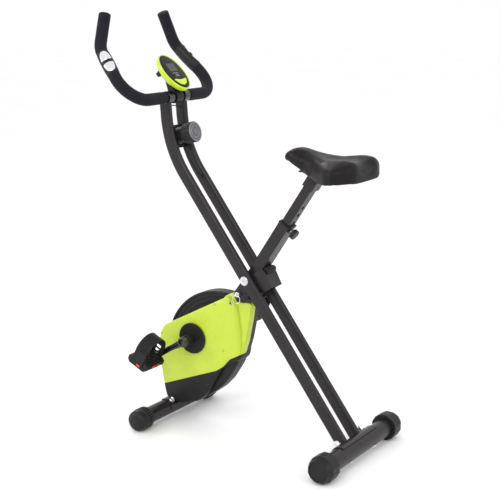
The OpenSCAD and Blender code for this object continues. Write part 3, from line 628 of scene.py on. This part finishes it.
def shell(outline, y_face, drop, reach, y_back, side=1):
    """A closed half shell: flat face, rounded shoulder and straight wall.

    drop and reach are functions of the outline point: the shoulder's height and its width."""
    normals = inward(outline)
    rings = [[Vector((p.x, side * y_back, p.y)) for p in outline]]
    steps = 7
    for k in range(steps + 1):
        t = math.pi / 2 * (1 - k / steps)
        loop = []
        for p, n in zip(outline, normals):
            q = p + n * (reach(p) * (1 - math.sin(t)))
            y = y_face - drop(p) * (1 - math.cos(t))
            loop.append(Vector((q.x, side * y, q.y)))
        rings.append(loop)
    return add_loft(bmesh.new(), rings)


def cut(obj, cutter, operation):
    """The shape of obj after a boolean with cutter, as a bmesh."""
    modifier = obj.modifiers.new("cut", "BOOLEAN")
    modifier.object = cutter
    modifier.operation = operation
    modifier.solver = "EXACT"
    graph = bpy.context.evaluated_depsgraph_get()
    graph.update()
    bm = bmesh.new()
    bm.from_object(obj, graph)
    obj.modifiers.clear()
    return bm


def clamped(t):
    return max(0.0, min(1.0, t))


def eased(t):
    return t * t * (3 - 2 * t)


def rear_soft(front, rear):
    """A width along the outline: front, rising to rear where the housing narrows behind."""

    def width(p):
        t = clamped((104 - p.x) / 44) * clamped((p.y - 120) / 60) * clamped((392 - p.y) / 14)
        return front + (rear - front) * eased(t)

    return width


def even(width):
    return lambda p: width


def build_housing():
    wide = rounded_outline(WIDE, 12)
    tail = rounded_outline(TAIL, 8)
    near_wide = shell(wide, WIDE_Y, rear_soft(5, 17), rear_soft(6, 30), NEAR_BACK)
    near_tail = shell(tail, TAIL_Y, even(TAIL_EDGE), even(TAIL_EDGE), NEAR_BACK)
    wide_obj = mesh_object("wide_tool", near_wide, [])
    tail_obj = mesh_object("tail_tool", near_tail, [])
    gap = [(x, z + SEAM) for x, z in SPLIT]
    lower = mesh_object("lower_tool", prism(SPLIT, -5, 60), [])
    upper = mesh_object("upper_tool", prism(gap, -5, 60), [])
    green = joined([cut(wide_obj, upper, "DIFFERENCE"), cut(tail_obj, upper, "DIFFERENCE")])
    dark = joined([cut(wide_obj, lower, "INTERSECT"), cut(tail_obj, lower, "INTERSECT")])
    for tool in (wide_obj, tail_obj, lower, upper):
        bpy.data.objects.remove(tool)
    piece("housing_green", green, "lime_plastic", "front_frame", ["left_cover"], sharp=28)
    piece("housing_dark", dark, "black_plastic", "front_frame", ["left_lower_cover"], sharp=28)
    arch = WIDE[6:16] + [
        (ARCH_CENTRE[0] + ARCH_RADIUS * math.cos(math.radians(a)),
         ARCH_CENTRE[1] + ARCH_RADIUS * math.sin(math.radians(a)))
        for a in range(10, 95, 7)
    ] + [(66, 388), (53, 386), (36, 368)]
    far = rounded_outline(arch, 10)
    far_wide = shell(far, WIDE_Y, rear_soft(6, 17), rear_soft(7, 30), FAR_BACK, -1)
    far_tail = shell(tail, TAIL_Y, even(TAIL_EDGE), even(TAIL_EDGE), FAR_BACK, -1)
    both = joined([far_wide, far_tail])
    piece("housing_far", both, "black_plastic", "front_frame", ["right_cover"], sharp=28)
    pits = bmesh.new()
    for x, z in SCREW_PITS:
        lathe(pits, (x, 0, z), (0, 1, 0), [(37.0, 2.9), (38.1, 2.9), (38.3, 2.4), (37.7, 2.0), (37.7, 0.4)],
              count=20)
    piece("screw_pits", pits, "black_gloss", "front_frame")
    steps = bmesh.new()
    for rim, root, lift in ARCH_STEPS:
        add_arch_rib(steps, ARCH_RADIUS - root, ARCH_RADIUS - rim, lift)
    piece("arch_ribs", steps, "black_plastic", "front_frame")


def prism(outline, y0, y1):
    return add_loft(bmesh.new(), [on_side(y0, outline), on_side(y1, outline)])


def joined(meshes):
    out = bmesh.new()
    for bm in meshes:
        mesh = bpy.data.meshes.new("joined")
        bm.to_mesh(mesh)
        bm.free()
        out.from_mesh(mesh)
        bpy.data.meshes.remove(mesh)
    return out


def add_arch_rib(bm, r0, r1, lift):
    """A concentric step on the inner face of the far housing half."""
    rings = []
    for a in range(26, 97, 5):
        t = math.radians(a)
        d = Vector((math.cos(t), 0, math.sin(t)))
        c = Vector((ARCH_CENTRE[0], 0, ARCH_CENTRE[1]))
        edge = 1.0
        rings.append([
            c + d * r0 + Vector((0, -0.6, 0)), c + d * (r0 + edge) + Vector((0, lift, 0)),
            c + d * (r1 - edge) + Vector((0, lift, 0)), c + d * r1 + Vector((0, -0.6, 0)),
        ])
    add_loft(bm, rings)


# ---------- cranks and pedals ----------

SPINDLES = {
    1: CRANK + Vector((math.cos(CRANK_DROP), 0, -math.sin(CRANK_DROP))) * CRANK_LENGTH,
    -1: CRANK - Vector((math.cos(CRANK_DROP), 0, -math.sin(CRANK_DROP))) * CRANK_LENGTH,
}


def build_hub_caps():
    """Plastic caps over the nuts at both ends of the crank axle."""
    bm = bmesh.new()
    for side in (1, -1):
        lathe(bm, CRANK, (0, side, 0), [
            (87.5, 9.5), (87.6, 13.4), (89, 14.0), (91.5, 13.4), (93, 11.5), (93.3, 10.5), (92.6, 9.6),
            (92.8, 5), (93, 0.5),
        ])
    piece("hub_caps", bm, "black_gloss", "crank", ["crank_nuts"])


def build_cranks():
    for side, name in ((1, "left"), (-1, "right")):
        bm = bmesh.new()
        spindle = SPINDLES[side]
        along = (spindle - CRANK).normalized()
        out = Vector((0, side, 0))
        steps = 22
        rings = []
        for i in range(steps + 1):
            t = i / steps
            ease = t * t * (3 - 2 * t)
            p = CRANK.lerp(spindle, t) + out * (79 + 4 * ease)
            half = 12.5 - 4.0 * math.sin(math.pi * t) - 1.0 * t
            thick = 5.5 - 1.0 * math.sin(math.pi * t)
            rings.append(ring(p, along.cross(out), out, half, thick, 28))
        add_loft(bm, rings)
        lathe(bm, CRANK, out, [(72, 13.5), (73, 15.5), (86, 15.8), (88, 14.0)])
        lathe(bm, spindle, out, [(77, 10), (78, 11.8), (88, 11.8), (89, 10.5)])
        piece(name + "_crank", bm, "black_paint", "crank", [name + "_crank_arm"])
        toe = Vector((math.cos(PEDAL_PITCH), 0, math.sin(PEDAL_PITCH)))
        tread = Vector((-math.sin(PEDAL_PITCH), 0, math.cos(PEDAL_PITCH)))
        for x in (-1, 1):
            bm = bmesh.new()
            mid = spindle + toe * (x * (PEDAL_HALF + 1.2)) + out * PEDAL_MID
            rings = []
            for d, a, b in ((-0.9, 16, 4.6), (0.2, 16, 4.6), (0.7, 15.2, 3.9)):
                rings.append(rounded_plate(mid + toe * (x * d), (0, 1, 0), tread, a, b, 2))
            add_loft(bm, rings)
            piece(f"{name}_reflector_{'front' if x > 0 else 'rear'}", bm, "reflector",
                  name + "_pedal")
        bm = bmesh.new()
        end = spindle - toe * 6 - tread * 4 + out * (PEDAL_MID + 42)
        add_loft(bm, [rounded_plate(end + out * d, toe, tread, 6, 3, 1.5, 3) for d in (-0.6, 0.7)])
        piece(name + "_end_reflector", bm, "reflector", name + "_pedal")


def rounded_plate(centre, u, v, a, b, r, steps=5):
    """Points of a rounded rectangle with half sizes a and b."""
    out = []
    for k, (sx, sy) in enumerate(((1, 1), (-1, 1), (-1, -1), (1, -1))):
        for i in range(steps + 1):
            t = math.pi / 2 * (k + i / steps)
            x = sx * (a - r) + r * math.cos(t)
            y = sy * (b - r) + r * math.sin(t)
            out.append(Vector(centre) + Vector(u) * x + Vector(v) * y)
    return out


# ---------- saddle ----------

PAD_FRONT = -97.5
PAD_REAR = -339.5
SKIRT_WALL = 11
BASE_TOP = 766.3
BASE_FRONT = -156
HALF_WIDTHS = [
    (-97.5, 3), (-99, 10), (-108, 22), (-128, 30), (-168, 35), (-205, 51), (-240, 75), (-268, 97),
    (-292, 105), (-312, 101), (-326, 90), (-334, 77), (-339.5, 60),
]
RIDGE = [
    (-97.5, 786), (-108, 799), (-124, 808), (-139, 811), (-160, 808), (-190, 800), (-216, 794),
    (-245, 787), (-274, 785), (-300, 787), (-322, 785), (-334, 780), (-339.5, 771),
]
SKIRT = [
    (-97.5, 781), (-118, 776), (-150, 759), (-175, 748), (-195, 742), (-215, 735), (-235, 731),
    (-265, 732), (-300, 737), (-339.5, 741),
]


def curve(table, x):
    """Value at x of a table of (x, value) with falling x."""
    for (x0, v0), (x1, v1) in zip(table, table[1:]):
        if x1 <= x <= x0:
            t = (x0 - x) / (x0 - x1)
            return v0 + (v1 - v0) * t
    return table[-1][1] if x < table[-1][0] else table[0][1]


def saddle_top(x, y):
    """Height of the crown: raised nose, a valley down the middle, lobes rising behind."""
    rear = clamped((-200 - x) / 80)
    lobe = math.exp(-(((abs(y) - 58) / 30) ** 2))
    return curve(RIDGE, x) + 10 * rear * lobe


def saddle_ring(x, count=96):
    """Cross section of the cushion: crown, rounded side, skirt, and the recess for the base."""
    half = curve(HALF_WIDTHS, x)
    low = curve(SKIRT, x)
    hollow = x < BASE_FRONT and x > PAD_REAR + SKIRT_WALL
    loop = []
    for k in range(count):
        a = 2 * math.pi * k / count
        c, s = math.cos(a), math.sin(a)
        y = half * math.copysign(abs(c) ** 0.6, c)
        top = saddle_top(x, y)
        mid = low + (top - low) * 0.32
        if s >= 0:
            z = mid + (top - mid) * abs(s) ** 0.52
        else:
            z = mid - (mid - low) * abs(s) ** 0.3
            if hollow and abs(y) < half - SKIRT_WALL:
                z = BASE_TOP
        loop.append(Vector((x, y, z)))
    return loop


def build_saddle():
    stations = 48
    xs = []
    for i in range(stations + 1):
        xs.append(PAD_FRONT + (PAD_REAR - PAD_FRONT) * (1 - math.cos(math.pi * i / stations)) / 2)
    bm = add_loft(bmesh.new(), [saddle_ring(x) for x in xs])
    pad = mesh_object("saddle_cushion", bm, [LOOKS["vinyl"]], sharp=80)
    inflate(pad)
    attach(pad, "seat")
    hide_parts("saddle_pad")


def inflate(pad, voxel=0.004, cap=0.003):
    """Swells a cushion with a short cloth simulation, moved no further than cap."""
    remesh = pad.modifiers.new("remesh", "REMESH")
    remesh.mode = "VOXEL"
    remesh.voxel_size = voxel
    apply_modifiers(pad)
    rest = [v.co.copy() for v in pad.data.vertices]
    low = min(p.z for p in rest)
    cloth = pad.modifiers.new("cloth", "CLOTH")
    cloth.settings.use_pressure = True
    cloth.settings.uniform_pressure_force = 4
    cloth.settings.effector_weights.gravity = 0
    cloth.point_cache.frame_start = 1
    cloth.point_cache.frame_end = 20
    scene = bpy.context.scene
    for f in range(1, 21):
        scene.frame_set(f)
    graph = bpy.context.evaluated_depsgraph_get()
    moved = [v.co.copy() for v in pad.evaluated_get(graph).data.vertices]
    pad.modifiers.clear()
    scene.frame_set(1)
    for v, a, b in zip(pad.data.vertices, rest, moved):
        step = b - a
        if step.length > cap:
            step = step.normalized() * cap
        base = clamped((a.z - low - 0.006) / 0.02)
        v.co = a + step * base
    smooth = pad.modifiers.new("smooth", "SMOOTH")
    smooth.iterations = 3
    smooth.factor = 0.4
    subdivide = pad.modifiers.new("subdivide", "SUBSURF")
    subdivide.levels = 1
    apply_modifiers(pad)
    for polygon in pad.data.polygons:
        polygon.use_smooth = True


# ---------- console and tension control ----------


def console_frame():
    normal = Vector((-math.sin(CONSOLE_TILT), 0, math.cos(CONSOLE_TILT)))
    up = Vector((math.cos(CONSOLE_TILT), 0, math.sin(CONSOLE_TILT)))
    return up, Vector((0, 1, 0)), normal


def oval_loft(profile, count=72):
    """Loft of ovals in the console frame from (height, long half, short half)."""
    up, side, normal = console_frame()
    rings = [ring(CONSOLE + normal * h, up, side, a, b, count) for h, a, b in profile]
    return add_loft(bmesh.new(), rings)


RIM = [
    (-12, 56.6, 40.4), (-8, 59.6, 42.8), (0, 61.2, 44.2), (3.2, 60.8, 43.8), (4.2, 59.6, 42.6),
    (4.0, 58.4, 41.4), (3.2, 57.8, 40.8), (0, 57.0, 40.0),
]
KEY_TOP = -27
KEY_OVAL = (47.5, 30.5)


def plate_at(bm, centre, u, v, normal, size, corner, low, high):
    """A flat rounded plate between two heights above the console frame."""
    a, b = size
    add_loft(bm, [rounded_plate(centre + normal * h, u, v, a, b, corner) for h in (low, high)])


def key_outline(grow):
    """Crescent key at the lower end of the face: an oval cut off by a hollow line."""
    a, b = KEY_OVAL
    out = []
    limit = math.acos(KEY_TOP / a)
    steps = 28
    for i in range(steps + 1):
        t = limit + (2 * math.pi - 2 * limit) * i / steps
        out.append(((a + grow) * math.cos(t), (b + grow) * math.sin(t)))
    (a0, b0), (a1, b1) = out[-1], out[0]
    for i in range(1, 12):
        t = i / 12
        out.append((a0 + (a1 - a0) * t - 4.0 * math.sin(math.pi * t) - grow, b0 + (b1 - b0) * t))
    return out


def build_console():
    up, side, normal = console_frame()
    case = oval_loft([
        (-24, 30, 20), (-23, 38, 26), (-19, 46, 32), (-14, 52, 36.5), (-10, 56.4, 40), (-1, 57, 40.5),
    ])
    piece("console_back", case, "black_gloss", "rear_frame", ["console_case"])
    rings = [ring(CONSOLE + normal * h, up, side, a, b, 96) for h, a, b in RIM]
    piece("console_rim", add_loft(bmesh.new(), rings, closed=True), "lime_trim", "rear_frame",
          ["console_bezel"])
    face = oval_loft([(0.1, 57.4, 40.4), (2.6, 57.2, 40.2), (3.4, 53, 36.2), (4.0, 36, 24), (4.2, 12, 8)])
    piece("console_face", face, "display", "rear_frame", ["console_screen"])
    screen = bmesh.new()
    mid = CONSOLE + up * 14
    plate_at(screen, mid, up, side, normal, (14, 17), 3, 3.0, 4.5)
    piece("console_lcd", screen, "lcd", "rear_frame")
    marks = bmesh.new()
    for i, (half, shift) in enumerate(((11, 3), (7, -2), (9, 0))):
        c = CONSOLE + up * (-6 - 5 * i) + side * shift
        plate_at(marks, c, side, up, normal, (half, 0.8), 0.7, 3.3, 4.35)
    piece("console_marks", marks, "mark", "rear_frame")
    key = bmesh.new()
    rings = []
    for h, grow in ((3.0, 0.0), (5.0, 0.0), (5.6, -0.8)):
        rings.append([CONSOLE + normal * h + up * a + side * b for a, b in key_outline(grow)])
    add_loft(key, rings)
    piece("mode_key", key, "lime_trim", "mode_button", ["console_button"])
    tab = bmesh.new()
    plate_at(tab, CONSOLE + up * 18 + side * 25, up, side, normal, (6, 6), 2, -30, -15)
    piece("console_tab", tab, "black_plastic", "rear_frame")


def knob_frame():
    """Place and outward axis of the tension knob, on the bend of the twin tubes."""
    normal = Vector((-UP_REAR.z, 0, UP_REAR.x))
    centre = PIVOT + UP_REAR * BEND_FROM + normal * BEND_RADIUS
    out = Vector((math.cos(KNOB_TILT), 0, math.sin(KNOB_TILT)))
    return centre + out * BEND_RADIUS, -out


KNOB_RIBS = 30
KNOB_TILT = math.radians(-16)


def build_tension():
    place, axis = knob_frame()
    bm = bmesh.new()
    lathe(bm, place, axis, [(-2, 20), (-1, 23), (20, 23.4), (24, 22.4), (28.6, 22), (29, 20)])
    piece("tension_barrel", bm, "black_plastic", "rear_frame")

    def ribbed(along, radius, t):
        if 32 < along < 60:
            return radius + 0.8 * max(0.0, math.cos(KNOB_RIBS * t))
        return radius

    knob = bmesh.new()
    lathe(knob, place, axis, [
        (30, 24), (30.6, 26.4), (33, 27.2), (33.5, 27.6), (58, 27.6), (58.5, 28.0), (60.5, 28.4),
        (61.6, 28.0), (62.0, 27.2), (61.2, 26.8),
    ], count=240, wave=ribbed)
    piece("knob_body", knob, "black_plastic", "knob", ["tension_knob"])
    disc = bmesh.new()
    rings = [(60.6, 26.9), (62.0, 26.9), (62.7, 26.0)]
    for r in (22, 17, 12, 7):
        rings += [(62.9, r + 0.8), (62.3, r + 0.4), (62.3, r - 0.4), (63.0, r - 0.8)]
    rings += [(63.2, 3.5), (63.0, 0.4)]
    lathe(disc, place, axis, rings, count=96)
    piece("knob_disc", disc, "knob_paint", "knob")
    marks = bmesh.new()
    for r, width in ((21, 1.2), (12, 1.6), (6, 1.2)):
        lathe(marks, place, axis, [(62.0, r - width), (63.15, r - width), (63.15, r), (62.0, r)], count=72)
    piece("knob_rings", marks, "black_plastic", "knob")


def build_stop_pad():
    """Ribbed rubber roll on the web of the yoke."""
    place = PIVOT + UP_MAIN * 53 + Vector((-math.sin(MAIN_ANGLE), 0, -math.cos(MAIN_ANGLE))) * 26.5

    def ribbed(along, radius, t):
        return radius + (0.5 * math.cos(18 * t) if abs(along) < 17 else 0)

    bm = bmesh.new()
    lathe(bm, place, (0, 1, 0), [
        (-20, 1), (-20, 7), (-18.5, 9), (-16.5, 9.6), (16.5, 9.6), (18.5, 9), (20, 7), (20, 1),
    ], count=120, wave=ribbed)
    piece("stop_roll", bm, "rubber", "rear_frame", ["stop_pad"])


# ---------- feet ----------


FRONT_CAP = [
    (133, 23.4), (133.4, 28.4), (135, 29.0), (153, 29.0), (157, 29.2), (158.5, 31.0), (161, 31.0),
    (162.5, 29.6), (174, 29.0), (179, 27.4), (183, 23.6), (185.8, 17), (187, 9), (187, 1),
]
CAP_RIBS = 28
CAP_RIB_HEIGHT = 1.8
CAP_RIB_SPAN = (134, 158)


def cap_ribbed(along, radius, t):
    if CAP_RIB_SPAN[0] < along < CAP_RIB_SPAN[1]:
        return radius + CAP_RIB_HEIGHT * max(0.0, math.cos(CAP_RIBS * t))
    return radius


def build_front_caps():
    bm = bmesh.new()
    for side in (1, -1):
        lathe(bm, FRONT_FOOT, (0, side, 0), FRONT_CAP, count=168, wave=cap_ribbed)
    piece("front_cap_mouldings", bm, "black_plastic", "front_frame", ["front_foot_caps"])


FACET = math.radians(30)
CORNER_BREAK = 0.04
REAR_CAP = [
    (153, 25.4), (153.2, 34.2), (154.6, 36), (186, 36), (189, 35.2), (194, 32.5), (196, 31.5),
    (203, 28.5), (203, 26), (201, 25), (201, 2),
]


def faceted(along, radius, t):
    """Radius of a twelve-sided section whose corners are just broken."""
    off = abs((t + FACET / 2) % FACET - FACET / 2)
    return radius / math.cos(min(off, FACET / 2 - CORNER_BREAK))


def build_rear_caps():
    for side, name in ((1, "left"), (-1, "right")):
        bm = lathe(bmesh.new(), REAR_FOOT + Vector((0, 0, CAP_LIFT)), (0, side, 0), REAR_CAP,
                   count=120, wave=faceted)
        piece(name + "_levelling_moulding", bm, "black_plastic", name + "_cap",
              [name + "_levelling_cap"], sharp=12)


# ---------- assembly ----------

REFINED = {
    "main_tube": (1.6, 3), "front_foot_tube": (0.6, 2), "front_foot_bolts": (0.5, 2),
    "seat_bushing": (1.5, 3), "crank_shell": (0.6, 2), "crank_discs": (1.2, 3), 
    "left_pedal_body": (1.0, 2), "right_pedal_body": (1.0, 2), "left_pedal_strap": (0.7, 2),
    "right_pedal_strap": (0.7, 2), "seat_post": (1.6, 3), "saddle_bracket": (0.8, 2),
    "saddle_base": (1.5, 3), "seat_pin": (0.5, 2), "seat_knob": (1.6, 3), "fold_yoke": (0.6, 2),
    "pivot_bolt": (0.8, 3), "rear_foot_plate": (0.6, 2), "rear_foot_tube": (0.6, 2),
    "rear_foot_bolts": (0.5, 2), "handlebar_clamps": (0.8, 2), "console_bracket": (1.0, 2),
    "lock_pin": (0.6, 2), "cover_screws": (0.4, 2),
}


def body_of_node(name):
    for body, members in frame["record"]["behaviour"]["bodies"].items():
        if name in members:
            return body
    return None


def dress_cad():
    """Gives every CAD node the look of its material slot, and soft edges where they show."""
    slots = {s["node"]: s["material_slot"] for s in frame["record"]["subparts"]}
    for name, obj in nodes.items():
        look = slots[name]
        obj.data.materials.clear()
        obj.data.materials.append(LOOKS[look])
        if name in REFINED:
            width, segments = REFINED[name]
            refined(name, look, body_of_node(name), width, segments)


add_camera()
add_stage()
dress_cad()
twin_tube("twin_tube_left", TWIN_Y, "left_twin_tube")
twin_tube("twin_tube_right", -TWIN_Y, "right_twin_tube")
build_handlebar()
build_pulse_sensors()
build_housing()
build_hub_caps()
build_cranks()
build_saddle()
build_console()
build_tension()
build_stop_pad()
build_front_caps()
build_rear_caps()
